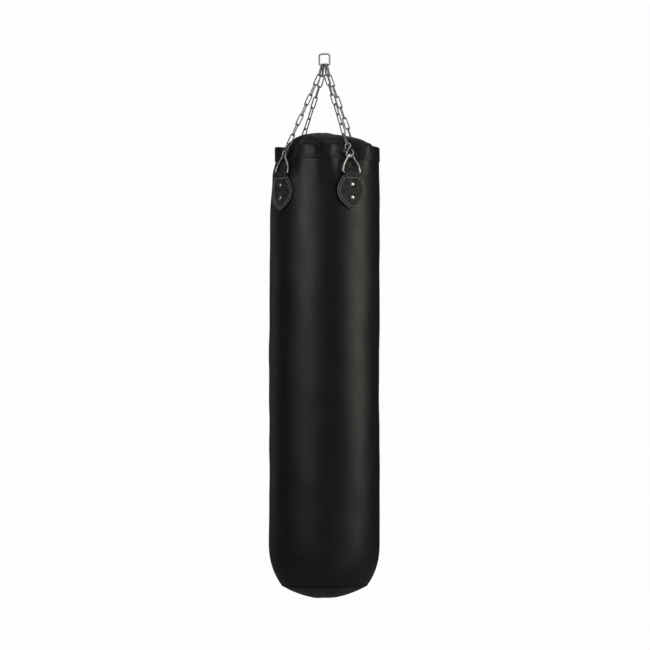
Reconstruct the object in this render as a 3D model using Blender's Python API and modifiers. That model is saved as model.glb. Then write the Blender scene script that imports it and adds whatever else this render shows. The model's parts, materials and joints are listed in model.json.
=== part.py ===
"""Heavy punching bag: a filled leather cylinder that hangs on four link chains from one hanging ring.

Units are metres and +Z is up. The origin is where the ring rests on the hook that carries it, so the
whole bag hangs below it. The four corners are named as seen from the front, which is -Y.
"""

import math

import bmesh
import bpy
from mathutils import Matrix, Vector

GAP = 0.0003

# Hanging ring: a rounded rectangle of round bar in the XZ plane.
RING_WIRE = 0.00225
RING_SIDES = 10
RING_ARC_STEPS = (0, 30, 60, 90)
RING_WIDTH = 0.0295
RING_HEIGHT = 0.0315
RING_CORNER = 0.00525
RING_TOP_Z = RING_WIRE * math.cos(math.pi / RING_SIDES)
RING_BAR_Z = RING_TOP_Z - RING_HEIGHT

# Chain links: stadium loops of round wire, measured along the wire's centre line.
LINKS_PER_CHAIN = 8
LINK_WIRE = 0.00175
LINK_SIDES = 6
LINK_LENGTH = 0.0359
LINK_WIDTH = 0.0105
FIRST_LINK_LEAN = 0.5

# S hooks, centre line: a wide lower loop for the D ring and a narrow upper loop for the chain.
HOOK_WIRE = 0.0019
HOOK_SIDES = 8
HOOK_LENGTH = 0.0422
HOOK_LOWER_R = 0.0106
HOOK_UPPER_R = 0.0081
HOOK_TO_D_RING = 0.0015
HOOK_ROLL = math.radians(-58)

# D rings, centre line, with the base bar in the strap's fold.
D_WIRE = 0.00235
D_SIDES = 8
D_WIDTH = 0.053
D_CORNER = 0.004
D_TOP_R = 0.0095
D_BASE = (0.1485, -0.330)
D_TOP = (0.1415, -0.2831)

# Bag body: radii and heights of the leather's outer surface.
RIM_Z = -0.256
RIM_RADIUS = 0.147
UPPER_RADIUS = 0.1485
UPPER_Z = -0.400
BODY_RADIUS = 0.150
BODY_Z = -0.520
CURVE_Z = -1.330
SEAM_RADIUS = 0.119
SEAM_Z = -1.445
BOTTOM_Z = -1.483
SEAM_POWER = 2.6
SEAM_GAP = 0.002
LEATHER = 0.0025
BODY_STEPS = 80
PANEL_STEPS = 36
PANEL_RINGS = 5

# The chains pull the rim in round each strap, as far as PINCH_REACH from it.
PINCH_REACH = math.radians(45)
PINCH_DEPTH = 0.034
PINCH_START_Z = -0.345
PINCH_FULL_Z = -0.270
PINCH_POWER = 1.15
PINCH_FOCUS = 3.0
RIM_DROP = 0.008

# The slack rim falls in on the left: depth at the rim, middle and spread, and the two steps of its height.
SLACK_DEPTH = 0.0155
SLACK_AZIMUTH = math.radians(-168)
SLACK_SPREAD = math.radians(20)
SLACK_STEPS = ((-0.440, 0.110, 0.35), (-0.335, 0.050, 0.65))

# Hem band round the rim.
BAND_LEATHER = 0.0028
BAND_ROWS = (RIM_Z, -0.275, -0.293)
SHELL_ROWS = (
    *BAND_ROWS,
    -0.312,
    -0.330,
    PINCH_START_Z,
    -0.372,
    UPPER_Z,
    -0.440,
    BODY_Z,
    CURVE_Z,
    -1.365,
    -1.395,
    -1.422,
    SEAM_Z,
)

# Filling and closing cloth inside the shell.
FILLING_TOP_Z = -0.312
FILLING_CROWN = ((0.0, 0.012), (0.075, 0.009))
FILLING_LOW_Z = -1.436
FLAT_RADIUS = 0.1
INNER_GAP = 0.0012
COVER_CENTRE_Z = -0.216
COVER_EDGE_Z = -0.283
COVER_LIFT = 0.018
COVER_LIFT_AZIMUTH = math.radians(14)
COVER_CLOTH = 0.004
COVER_POWER = 3.3
COVER_RINGS = 7

# Tied end of the closing cloth, hanging over the front of the hem band.
KNOT_AZIMUTH = math.radians(-78)
KNOT_Z = -0.268
KNOT_HALF_WIDTH = 0.0245
KNOT_HALF_HEIGHT = 0.0125
KNOT_THICKNESS = 0.0085
KNOT_GAP = 0.0006

# Straps: a shield of two leather layers with a tongue behind the D ring.
STRAP_GAP = 0.0007
STRAP_LEATHER = 0.0045
TONGUE_LEATHER = 0.0022
TONGUE_TOP_Z = -0.297
FOLD_LEATHER = 0.002
FOLD_HALF = 0.0215
STRAP_OUTLINE = (
    (-0.334, 0.0270),
    (-0.343, 0.0290),
    (-0.352, 0.0345),
    (-0.365, 0.0405),
    (-0.381, 0.0430),
    (-0.395, 0.0400),
    (-0.407, 0.0335),
    (-0.419, 0.0210),
    (-0.430, 0.0045),
)
TONGUE_OUTLINE = ((-0.340, 0.0235), (-0.318, 0.0225), (-0.303, 0.0205), (TONGUE_TOP_Z, 0.0165))

# Rivets, on the strap's centre line.
RIVET_HEIGHTS = {"upper": -0.363, "lower": -0.398}
RIVET_HEAD_R = 0.0053
RIVET_HEAD_H = 0.0026
RIVET_SHANK_R = 0.002

# Corner name: azimuth, and place of its first link along the ring's bar.
CORNERS = {
    "front_left": (math.radians(-127), -0.0074),
    "front_right": (math.radians(-46.5), 0.00255),
    "back_left": (math.radians(138.5), -0.00255),
    "back_right": (math.radians(61), 0.0074),
}

# Colour, roughness and metallic value of each material.
FINISHES = {
    "zinc_steel": ((0.42, 0.42, 0.41), 0.35, 1.0),
    "nickel": ((0.75, 0.75, 0.74), 0.2, 1.0),
    "black_leather": ((0.012, 0.012, 0.012), 0.45, 0.0),
    "strap_leather": ((0.02, 0.02, 0.019), 0.6, 0.0),
    "black_cloth": ((0.008, 0.008, 0.009), 0.8, 0.0),
    "textile_filling": ((0.35, 0.33, 0.3), 0.95, 0.0),
}


def clear_scene():
    for obj in list(bpy.data.objects):
        bpy.data.objects.remove(obj, do_unlink=True)


def make_collection(name):
    collection = bpy.data.collections.new(name)
    bpy.context.scene.collection.children.link(collection)
    return collection


def finish(obj, finish_name):
    """Gives the object its own Principled material."""
    colour, roughness, metallic = FINISHES[finish_name]
    material = bpy.data.materials.new(obj.name + "_" + finish_name)
    material.use_nodes = True
    shader = material.node_tree.nodes["Principled BSDF"]
    shader.inputs["Base Color"].default_value = (*colour, 1.0)
    shader.inputs["Roughness"].default_value = roughness
    shader.inputs["Metallic"].default_value = metallic
    obj.material_slots[0].link = "OBJECT"
    obj.material_slots[0].material = material


def add_object(name, data, collection, matrix=None):
    obj = bpy.data.objects.new(name, data)
    if not data.materials:
        data.materials.append(None)
    collection.objects.link(obj)
    if matrix is not None:
        obj.matrix_world = matrix
    return obj


def frame_matrix(place, x_axis, z_axis):
    """Places a local frame: its Z along z_axis, and its X along x_axis as nearly as Z lets it."""
    z_axis = z_axis.normalized()
    x_axis = (x_axis - x_axis.dot(z_axis) * z_axis).normalized()
    y_axis = z_axis.cross(x_axis)
    return Matrix.Translation(place) @ Matrix((x_axis, y_axis, z_axis)).transposed().to_4x4()


def baked(obj):
    """The object's evaluated mesh, with loose caps welded; the object is removed."""
    bpy.context.view_layer.update()
    graph = bpy.context.evaluated_depsgraph_get()
    mesh = bpy.data.meshes.new_from_object(obj.evaluated_get(graph))
    bm = bmesh.new()
    bm.from_mesh(mesh)
    bmesh.ops.remove_doubles(bm, verts=bm.verts, dist=1e-6)
    bm.to_mesh(mesh)
    bm.free()
    bpy.data.objects.remove(obj, do_unlink=True)
    return mesh


def move_vertices(mesh, place):
    for vertex in mesh.vertices:
        vertex.co = place(vertex.co)
    mesh.update()


def wire_curve(name, points, radius, cyclic, sides):
    """Wire with that many sides along points in the local XZ plane."""
    curve = bpy.data.curves.new(name, "CURVE")
    curve.dimensions = "3D"
    curve.bevel_depth = radius
    curve.bevel_resolution = (sides - 4) // 2
    curve.use_fill_caps = not cyclic
    spline = curve.splines.new("POLY")
    spline.points.add(len(points) - 1)
    for point, (x, z) in zip(spline.points, points):
        point.co = (x, 0.0, z, 1.0)
    spline.use_cyclic_u = cyclic
    spline.use_smooth = True
    return curve


def arc(centre, radius, degrees):
    return [
        (
            centre[0] + radius * math.cos(math.radians(a)),
            centre[1] + radius * math.sin(math.radians(a)),
        )
        for a in degrees
    ]


def turned(name, profile, steps, collection):
    """A surface of revolution about Z. The profile holds (radius, z) points, top to bottom."""
    mesh = bpy.data.meshes.new(name)
    edges = [(i, i + 1) for i in range(len(profile) - 1)]
    mesh.from_pydata([(r, 0.0, z) for r, z in profile], edges, [])
    obj = add_object(name, mesh, collection)
    screw = obj.modifiers.new("Turn", "SCREW")
    screw.axis = "Z"
    screw.steps = steps
    screw.render_steps = steps
    screw.use_merge_vertices = True
    screw.merge_threshold = 1e-5
    screw.use_smooth_shade = True
    return obj


def thicken(obj, thickness, offset):
    solidify = obj.modifiers.new("Thickness", "SOLIDIFY")
    solidify.thickness = thickness
    solidify.offset = offset


def cut_with(obj, cutter, operation):
    boolean = obj.modifiers.new(operation.title(), "BOOLEAN")
    boolean.operation = operation
    boolean.solver = "EXACT"
    boolean.object = cutter


# The bag's outer surface


def turn_between(azimuth, other):
    return abs((azimuth - other + math.pi) % (2 * math.pi) - math.pi)


def from_strap(azimuth):
    """The angle to the nearest strap."""
    return min(turn_between(azimuth, strap) for strap, _ in CORNERS.values())


def pinch_share(turn):
    """1 at a strap, falling to 0 at PINCH_REACH from it."""
    return ((1 + math.cos(math.pi * min(turn / PINCH_REACH, 1.0))) / 2) ** PINCH_FOCUS


def plain_radius(z):
    """The leather's outer radius away from the straps."""
    if z >= UPPER_Z:
        share = (z - UPPER_Z) / (RIM_Z - UPPER_Z)
        return UPPER_RADIUS + (RIM_RADIUS - UPPER_RADIUS) * share
    if z >= BODY_Z:
        share = (z - BODY_Z) / (UPPER_Z - BODY_Z)
        return BODY_RADIUS + (UPPER_RADIUS - BODY_RADIUS) * share
    if z >= CURVE_Z:
        return BODY_RADIUS
    share = (CURVE_Z - z) / (CURVE_Z - SEAM_Z)
    return BODY_RADIUS - (BODY_RADIUS - SEAM_RADIUS) * share**SEAM_POWER


def pinched_radius(z, turn):
    """The outer radius at an angle from a strap."""
    share = (z - PINCH_START_Z) / (PINCH_FULL_Z - PINCH_START_Z)
    share = min(max(share, 0.0), 1.0) ** PINCH_POWER
    return plain_radius(z) - PINCH_DEPTH * share * pinch_share(turn)


def slack(z, azimuth):
    """How far the slack side of the rim has fallen in."""
    fall = math.exp(-0.5 * (turn_between(azimuth, SLACK_AZIMUTH) / SLACK_SPREAD) ** 2)
    height = 0.0
    for start, length, part in SLACK_STEPS:
        share = min(max((z - start) / length, 0.0), 1.0)
        height += part * share * share * (3 - 2 * share)
    return SLACK_DEPTH * fall * height


def surface_radius(z, azimuth):
    return pinched_radius(z, from_strap(azimuth)) - slack(z, azimuth)


def on_surface(point, offset):
    """Moves a turned point to the same height on the pinched surface, offset outwards."""
    azimuth = math.atan2(point.y, point.x)
    radius = surface_radius(point.z, azimuth) + offset
    z = point.z
    if z > RIM_Z - GAP:
        z -= RIM_DROP * pinch_share(from_strap(azimuth)) ** 2
    return Vector((radius * math.cos(azimuth), radius * math.sin(azimuth), z))


def bottom_arc(offset, count):
    """The bulged bottom's (radius, z) points from its rim to the axis, offset upwards."""
    top = SEAM_Z - SEAM_GAP
    depth = top - BOTTOM_Z
    sphere = (SEAM_RADIUS**2 + depth**2) / (2 * depth)
    spread = math.asin(SEAM_RADIUS / sphere)
    centre = BOTTOM_Z + sphere
    radius = sphere - offset
    angles = [spread * (1 - i / count) for i in range(count + 1)]
    return [(radius * math.sin(a), centre - radius * math.cos(a)) for a in angles]


def make_shell(collection):
    profile = [(plain_radius(z), z) for z in SHELL_ROWS]
    mesh = baked(turned("shell_form", profile, BODY_STEPS, collection))
    move_vertices(mesh, lambda p: on_surface(p, 0.0))
    shell = add_object("bag_shell", mesh, collection)
    thicken(shell, LEATHER, -1.0)
    finish(shell, "black_leather")


def make_band(collection):
    profile = [(plain_radius(z), z) for z in BAND_ROWS]
    mesh = baked(turned("band_form", profile, BODY_STEPS, collection))
    move_vertices(mesh, lambda p: on_surface(p, GAP))
    band = add_object("top_band", mesh, collection)
    thicken(band, BAND_LEATHER, 1.0)
    finish(band, "black_leather")


def make_bottom(collection):
    panel = turned("bottom_panel", bottom_arc(0.0, PANEL_RINGS), PANEL_STEPS, collection)
    thicken(panel, LEATHER, -1.0)
    finish(panel, "black_leather")


def make_filling(collection):
    inset = LEATHER + INNER_GAP
    rows = [z for z in SHELL_ROWS if FILLING_LOW_Z < z <= FILLING_TOP_Z] + [FILLING_LOW_Z]
    crown = [(radius, FILLING_TOP_Z + rise) for radius, rise in FILLING_CROWN]
    sides = [(plain_radius(z), z) for z in rows]
    bottom = bottom_arc(inset, PANEL_RINGS)[1:]
    mesh = baked(turned("filling_form", crown + sides + bottom, BODY_STEPS, collection))

    def inside(point):
        if math.hypot(point.x, point.y) < FLAT_RADIUS or point.z < FILLING_LOW_Z - GAP:
            return point
        return on_surface(point, -inset)

    move_vertices(mesh, inside)
    finish(add_object("filling", mesh, collection), "textile_filling")


def make_top_cover(collection):
    """A domed cloth over the filling, pinched in with the rim and sewn in higher on the right."""
    edge = plain_radius(COVER_EDGE_Z)
    profile = [(edge * i / COVER_RINGS, COVER_EDGE_Z) for i in range(COVER_RINGS + 1)]
    mesh = baked(turned("cover_form", profile, BODY_STEPS, collection))

    def domed(point):
        share = min(math.hypot(point.x, point.y) / edge, 1.0)
        azimuth = math.atan2(point.y, point.x)
        edge_z = COVER_EDGE_Z + COVER_LIFT * (1 + math.cos(azimuth - COVER_LIFT_AZIMUTH)) / 2
        reach = surface_radius(edge_z, azimuth) - LEATHER - COVER_CLOTH
        z = edge_z + (COVER_CENTRE_Z - edge_z) * (1 - share**COVER_POWER)
        return Vector((reach * share * math.cos(azimuth), reach * share * math.sin(azimuth), z))

    move_vertices(mesh, domed)
    cover = add_object("top_cover", mesh, collection)
    thicken(cover, COVER_CLOTH, -1.0)
    finish(cover, "black_cloth")


def make_knot(collection):
    """A flattened ball of cloth, bent to the band's face."""
    bm = bmesh.new()
    bmesh.ops.create_uvsphere(bm, u_segments=16, v_segments=10, radius=1.0)
    mesh = bpy.data.meshes.new("closure_knot")
    bm.to_mesh(mesh)
    bm.free()
    mesh.shade_smooth()

    def on_band(point):
        azimuth = KNOT_AZIMUTH + point.y * KNOT_HALF_WIDTH / BODY_RADIUS
        z = KNOT_Z + point.z * KNOT_HALF_HEIGHT
        out = GAP + BAND_LEATHER + KNOT_GAP + KNOT_THICKNESS * (1 + point.x) / 2
        radius = surface_radius(z, azimuth) + out
        return Vector((radius * math.cos(azimuth), radius * math.sin(azimuth), z))

    move_vertices(mesh, on_band)
    finish(add_object("closure_knot", mesh, collection), "black_cloth")


# Straps, rivets and D rings, built with the strap's azimuth along +X


def shaped_plate(name, outline, columns, thickness, offset, collection):
    """A leather plate on the bag's surface, from (z, half width) rows."""
    bm = bmesh.new()
    bmesh.ops.create_grid(bm, x_segments=columns, y_segments=len(outline) - 1, size=1.0)
    for vertex in bm.verts:
        row = round((vertex.co.y + 1) / 2 * (len(outline) - 1))
        z, half = outline[row]
        turn = vertex.co.x * half / BODY_RADIUS
        radius = pinched_radius(z, abs(turn)) + offset
        vertex.co = (radius * math.cos(turn), radius * math.sin(turn), z)
    bmesh.ops.recalc_face_normals(bm, faces=bm.faces)
    if sum(face.normal.x for face in bm.faces) < 0:
        bmesh.ops.reverse_faces(bm, faces=bm.faces)
    mesh = bpy.data.meshes.new(name)
    bm.to_mesh(mesh)
    bm.free()
    plate = add_object(name, mesh, collection)
    thicken(plate, thickness, 1.0)
    return plate


def rod(name, radius, length, matrix, collection, sides=16):
    bm = bmesh.new()
    bmesh.ops.create_cone(bm, cap_ends=True, segments=sides, radius1=radius, radius2=radius, depth=length)
    mesh = bpy.data.meshes.new(name)
    bm.to_mesh(mesh)
    bm.free()
    return add_object(name, mesh, collection, matrix)


def strap_mesh(collection):
    """Shield, tongue and fold in one, with the fold's channel and the two rivet holes."""
    strap = shaped_plate("strap_form", STRAP_OUTLINE, 8, STRAP_LEATHER, STRAP_GAP, collection)
    tongue = shaped_plate("tongue_form", TONGUE_OUTLINE, 6, TONGUE_LEATHER, STRAP_GAP, collection)
    radius, z = D_BASE
    across = Matrix.Translation((radius, 0.0, z)) @ Matrix.Rotation(math.pi / 2, 4, "X")
    channel = D_WIRE + 1.5 * GAP
    fold = rod("fold_form", channel + FOLD_LEATHER, 2 * FOLD_HALF, across, collection)
    bar_hole = rod("bar_hole", channel, 0.1, across, collection)
    cutters = [(tongue, "UNION"), (fold, "UNION"), (bar_hole, "DIFFERENCE")]
    for name, height in RIVET_HEIGHTS.items():
        inwards = Matrix.Translation((BODY_RADIUS, 0.0, height)) @ Matrix.Rotation(math.pi / 2, 4, "Y")
        hole = rod("hole_" + name, RIVET_SHANK_R + GAP, 0.04, inwards, collection, 12)
        cutters.append((hole, "DIFFERENCE"))
    for cutter, operation in cutters:
        cut_with(strap, cutter, operation)
    mesh = baked(strap)
    for cutter, _ in cutters:
        bpy.data.objects.remove(cutter, do_unlink=True)
    mesh.name = "strap"
    mesh.shade_smooth()
    mesh.set_sharp_from_angle(angle=math.radians(40))
    return mesh


def rivet_mesh(collection):
    shank = STRAP_LEATHER
    profile = [
        (0.0, RIVET_HEAD_H),
        (RIVET_HEAD_R * 0.5, RIVET_HEAD_H * 0.86),
        (RIVET_HEAD_R * 0.85, RIVET_HEAD_H * 0.5),
        (RIVET_HEAD_R, 0.0),
        (RIVET_SHANK_R, 0.0),
        (RIVET_SHANK_R, -shank),
        (0.0, -shank),
    ]
    mesh = baked(turned("rivet", profile, 12, collection))
    mesh.set_sharp_from_angle(angle=math.radians(50))
    return mesh


def d_ring_curve():
    height = math.hypot(D_BASE[0] - D_TOP[0], D_BASE[1] - D_TOP[1])
    half = D_WIDTH / 2
    base_right = arc((half - D_CORNER, D_CORNER), D_CORNER, (-90, -45, 0))
    top = arc((0.0, height - D_TOP_R), D_TOP_R, (15, 40, 65, 90, 115, 140, 165))
    knee = (half * 0.76, height * 0.48)
    right = base_right + [knee]
    left = [(-x, z) for x, z in reversed(right)]
    return wire_curve("d_ring", right + top + left, D_WIRE, True, D_SIDES)


def hook_curve():
    """An S: over the chain's last link, across to the left, and round under the D ring."""
    lower = (0.0, HOOK_LOWER_R)
    upper = (0.0, HOOK_LENGTH - HOOK_UPPER_R)
    span = upper[1] - lower[1]
    tangent = math.degrees(math.acos((HOOK_LOWER_R + HOOK_UPPER_R) / span))
    upper_end = tangent - 90
    lower_start = tangent + 90
    upper_angles = (228, 210, 180, 150, 120, 90, 60, 30, 0, -30, upper_end)
    lower_angles = (lower_start, 150, 180, 210, 240, 270, 300, 330, 360, 390, 418)
    points = arc(upper, HOOK_UPPER_R, upper_angles) + arc(lower, HOOK_LOWER_R, lower_angles)
    return wire_curve("s_hook", points, HOOK_WIRE, False, HOOK_SIDES)


def link_curve():
    """A stadium whose ends are half octagons round the true arc, so each contact keeps its play."""
    radius = LINK_WIDTH / 2
    straight = LINK_LENGTH / 2 - radius
    corner_radius = radius / math.cos(math.radians(22.5))
    top = arc((0.0, straight), corner_radius, (22.5, 67.5, 112.5, 157.5))
    bottom = arc((0.0, -straight), corner_radius, (202.5, 247.5, 292.5, 337.5))
    return wire_curve("chain_link", top + bottom, LINK_WIRE, True, LINK_SIDES)


def make_hanging_ring(collection):
    half = RING_WIDTH / 2 - RING_CORNER
    top = -RING_CORNER
    bottom = -RING_HEIGHT + RING_CORNER
    points = []
    for x, z, start in ((half, top, 0), (-half, top, 90), (-half, bottom, 180), (half, bottom, 270)):
        points += arc((x, z), RING_CORNER, [start + step for step in RING_ARC_STEPS])
    curve = wire_curve("hanging_ring", points, RING_WIRE, True, RING_SIDES)
    place = Matrix.Translation((0.0, 0.0, RING_TOP_Z))
    finish(add_object("hanging_ring", curve, collection, place), "zinc_steel")


# Chains


def chain_line(azimuth, start_x):
    """The D ring's top, and the directions of the first link and of the rest of the chain.

    The play at each contact is opened a little, so that eight equal links just reach the S hook.
    """
    top = Vector((D_TOP[0] * math.cos(azimuth), D_TOP[0] * math.sin(azimuth), D_TOP[1]))
    start = Vector((start_x, 0.0, RING_BAR_Z))
    first = (start - top).normalized()
    first = Vector((first.x * FIRST_LINK_LEAN, first.y, first.z)).normalized()
    hook_share = HOOK_LENGTH - HOOK_TO_D_RING - D_WIRE - 2 * HOOK_WIRE - LINK_WIRE
    play = GAP
    for _ in range(20):
        seat = start + (RING_WIRE + LINK_WIRE + play - LINK_LENGTH) * first
        reach = hook_share - play + (LINKS_PER_CHAIN - 1) * (LINK_LENGTH - 2 * LINK_WIRE - play)
        play += (reach - (seat - top).length) / (LINKS_PER_CHAIN + 1)
    return top, start, first, (seat - top).normalized(), play


def roll_of(width, tangent, line):
    """The roll about line, from tangent to width, in radians."""
    flat = (tangent - tangent.dot(line) * line).normalized()
    return math.atan2(width.dot(line.cross(flat)), width.dot(flat))


def width_at(roll, tangent, line):
    flat = (tangent - tangent.dot(line) * line).normalized()
    return math.cos(roll) * flat + math.sin(roll) * line.cross(flat)


def make_chain(corner, azimuth, start_x, link, hook, collection):
    top, start, first, line, play = chain_line(azimuth, start_x)
    tangent = Vector((-math.sin(azimuth), math.cos(azimuth), 0.0))
    first_width = Vector((1.0, 0.0, 0.0)).cross(first).normalized()
    first_roll = roll_of(first_width, tangent, line)
    twist = (HOOK_ROLL - first_roll + math.pi / 2) % math.pi - math.pi / 2
    twist /= LINKS_PER_CHAIN - 1
    upper = start + (RING_WIRE + LINK_WIRE + play) * first
    for i in range(LINKS_PER_CHAIN):
        direction = line if i else first
        width = width_at(first_roll + i * (math.pi / 2 + twist), tangent, line) if i else first_width
        matrix = frame_matrix(upper - LINK_LENGTH / 2 * direction, width, direction)
        obj = add_object(f"chain_{corner}_link_{i + 1}", link, collection, matrix)
        finish(obj, "zinc_steel")
        upper = upper - LINK_LENGTH * direction + (2 * LINK_WIRE + play) * line
    seat = top - (D_WIRE + HOOK_WIRE + HOOK_TO_D_RING) * line
    matrix = frame_matrix(seat, width_at(HOOK_ROLL, tangent, line), line)
    finish(add_object("s_hook_" + corner, hook, collection, matrix), "zinc_steel")


def make_corner(corner, azimuth, d_ring, strap, rivet, collection):
    turn = Matrix.Rotation(azimuth, 4, "Z")
    finish(add_object("strap_" + corner, strap, collection, turn), "strap_leather")
    for name, height in RIVET_HEIGHTS.items():
        radius = pinched_radius(height, 0.0) + STRAP_GAP + STRAP_LEATHER + GAP
        matrix = frame_matrix(Vector((radius, 0.0, height)), Vector((0, 0, 1)), Vector((1, 0, 0)))
        obj = add_object(f"rivet_{corner}_{name}", rivet, collection, turn @ matrix)
        finish(obj, "nickel")
    base = Vector((D_BASE[0], 0.0, D_BASE[1]))
    upwards = Vector((D_TOP[0], 0.0, D_TOP[1])) - base
    matrix = frame_matrix(base, Vector((0, 1, 0)), upwards)
    finish(add_object("d_ring_" + corner, d_ring, collection, turn @ matrix), "zinc_steel")


def main():
    clear_scene()
    bag = make_collection("heavy_punching_bag")
    helpers = make_collection("forms")
    make_hanging_ring(bag)
    make_shell(bag)
    make_band(bag)
    make_bottom(bag)
    make_filling(bag)
    make_top_cover(bag)
    make_knot(bag)
    strap = strap_mesh(helpers)
    rivet = rivet_mesh(helpers)
    link, hook, d_ring = link_curve(), hook_curve(), d_ring_curve()
    for corner, (azimuth, start_x) in CORNERS.items():
        make_corner(corner, azimuth, d_ring, strap, rivet, bag)
        make_chain(corner, azimuth, start_x, link, hook, bag)
    bpy.data.collections.remove(helpers)


main()
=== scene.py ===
"""Looks of the heavy punching bag: smooth wire for the chains, and leather, cloth and thread for the bag.

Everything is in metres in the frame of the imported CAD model: +Z is up, the front is -Y, and the bag hangs
round the Z axis below the origin. Each piece replaces one CAD node, or adds thread, an edge or a layer to it.
"""

import json
import math

import bmesh
import bpy
import numpy as np
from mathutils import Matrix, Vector


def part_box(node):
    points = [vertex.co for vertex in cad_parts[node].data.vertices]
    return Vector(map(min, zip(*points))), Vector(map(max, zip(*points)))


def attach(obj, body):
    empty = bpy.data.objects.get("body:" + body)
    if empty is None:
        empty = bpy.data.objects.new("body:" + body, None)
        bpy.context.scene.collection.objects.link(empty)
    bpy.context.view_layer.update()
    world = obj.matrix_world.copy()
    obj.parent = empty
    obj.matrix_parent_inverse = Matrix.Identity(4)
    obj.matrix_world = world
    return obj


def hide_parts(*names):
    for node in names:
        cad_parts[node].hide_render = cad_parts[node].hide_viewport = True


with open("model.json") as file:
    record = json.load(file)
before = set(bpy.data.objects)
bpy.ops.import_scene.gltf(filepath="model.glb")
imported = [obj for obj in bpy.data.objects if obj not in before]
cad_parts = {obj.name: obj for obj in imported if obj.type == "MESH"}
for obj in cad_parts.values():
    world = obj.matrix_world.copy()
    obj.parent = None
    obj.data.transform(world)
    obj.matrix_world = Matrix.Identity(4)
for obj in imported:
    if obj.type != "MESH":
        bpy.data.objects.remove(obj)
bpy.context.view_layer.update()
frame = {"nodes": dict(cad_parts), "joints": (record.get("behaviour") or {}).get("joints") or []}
JOINTS = {joint["child"]: joint for joint in frame["joints"]}
AZIMUTHS = {
    name.removeprefix("d_ring_"): math.atan2(joint["pos_m"][1], joint["pos_m"][0])
    for name, joint in JOINTS.items()
    if name.startswith("d_ring_")
}
LINKS_PER_CHAIN = sum(name.startswith("chain_front_left_link") for name in frame["nodes"])

# Bag body, from the CAD boxes and the CAD profile.
RIM_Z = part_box("bag_shell")[1].z
SEAM_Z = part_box("bag_shell")[0].z
BODY_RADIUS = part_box("bag_shell")[1].x
BAND_LOW_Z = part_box("top_band")[0].z
SEAM_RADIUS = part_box("bottom_panel")[1].x
BOTTOM_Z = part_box("bottom_panel")[0].z
COVER_TOP_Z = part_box("top_cover")[1].z
FILLING_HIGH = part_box("filling")[1].z
RIM_RADIUS = 0.147
UPPER_RADIUS = 0.1485
UPPER_Z = -0.400
BODY_Z = -0.520
CURVE_Z = -1.330
SEAM_POWER = 2.6
PINCH_REACH = math.radians(45)
PINCH_DEPTH = 0.034
PINCH_START_Z = -0.345
PINCH_FULL_Z = -0.270
PINCH_POWER = 1.15
PINCH_FOCUS = 3.0
RIM_DROP = 0.008
SLACK_DEPTH = 0.0155
SLACK_AZIMUTH = math.radians(-168)
SLACK_SPREAD = math.radians(20)
SLACK_STEPS = ((-0.440, 0.110, 0.35), (-0.335, 0.050, 0.65))
BOTTOM_POWER = 2.05
LOBE = 0.0036
LOBE_AZIMUTH = math.radians(14)
LOBE_SPREAD = math.radians(17)
LOBE_Z = -0.385
LOBE_HEIGHT = 0.065
SKIN_LEATHER = 0.0025
LUMPS = 0.0006
FINE_LUMPS = 0.00035
TOP_CREASES = 0.0005
GATHER_DEPTH = 0.0011
GATHER_REACH = 0.060
BEND_Z = CURVE_Z + 0.030
COLUMNS = 400

# Wires, as radius, and shapes along the wire's centre line.
WIRE_SIDES = 14
RING_WIRE = 0.00225
RING_CORNER = 0.0062
LINK_WIRE = 0.00175
LINK_LENGTH = 0.0359
LINK_WIDTH = 0.0105
HOOK_WIRE = 0.0019
HOOK_LENGTH = 0.0422
HOOK_LOWER_R = 0.0106
HOOK_UPPER_R = 0.0081
HOOK_ROLL = math.radians(-58)
D_WIRE = 0.00235
D_WIDTH = 0.053
D_HEIGHT = 0.0474
D_CORNER = 0.004
D_TOP_R = 0.0095

# Hem band round the rim: how far each side stands off the shell's outer surface.
BAND_OUT = 0.0029
BAND_IN = 0.0003
FLAP_OUT = -0.0028
FLAP_IN = -0.0040
FLAP_DEPTH = 0.012
EDGE_BEAD = 0.0011
EDGE_OUT = 0.0018
EDGE_UP = -0.0004
BAND_ROLL = 0.003
BAND_ROWS = (BAND_LOW_Z + 0.0024, BAND_LOW_Z + 0.0088)

# Lap that closes the shell down the back.
LAP_HALF = 0.011
LAP_LIFT = 0.0013
LAP_ROW = 0.0075

# Closing cloth.
COVER_EDGE_Z = -0.283
COVER_LIFT = 0.018
COVER_LIFT_AZIMUTH = math.radians(14)
COVER_POWER = 3.3
COVER_CLOTH = 0.0012
COVER_CELLS = 68
COVER_SLACK = 0.05
DOME_GAP = 0.004
SETTLE_FRAMES = 22
SETTLE_LIMIT = 0.009
SEWN_SHARE = 0.985
TIE_AZIMUTH = math.radians(-78)
TIE_REACH = 0.128
TIE_HALF_WIDTH = 0.0245
TIE_DROP = 0.0265
TIE_RISE = 0.0100
TIE_THICKNESS = 0.0105
TIE_BEND = 0.004

# Straps: how far each layer stands off the shell, and outlines as (z, half width).
STRAP_GAP = 0.0007
BACKING = 0.0021
FACE = 0.0023
FACE_OFFSET = STRAP_GAP + BACKING + 0.0001
STRAP_OUTLINE = (
    (-0.3335, 0.0262), (-0.3430, 0.0290), (-0.3520, 0.0345), (-0.3650, 0.0405), (-0.3810, 0.0430),
    (-0.3950, 0.0400), (-0.4070, 0.0335), (-0.4190, 0.0210), (-0.4270, 0.0100), (-0.4308, 0.0010),
)
TONGUE_OUTLINE = (
    (-0.3430, 0.0235), (-0.3180, 0.0225), (-0.3050, 0.0208), (-0.2990, 0.0178), (-0.2972, 0.0130),
)
SHIELD_TOP_Z = -0.3432
TIP_SPREAD_Z = -0.4150
NECK_STEPS = 5
FOLD_HALF = 0.0215
FOLD_CHANNEL = 0.0028
FOLD_END = math.radians(140)
OUTER_ROW_INSET = 0.0017
INNER_ROW_INSET = 0.0080
RIVET_HEIGHTS = {"upper": -0.363, "lower": -0.398}
RIVET_HEAD_R = 0.0053
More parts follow.
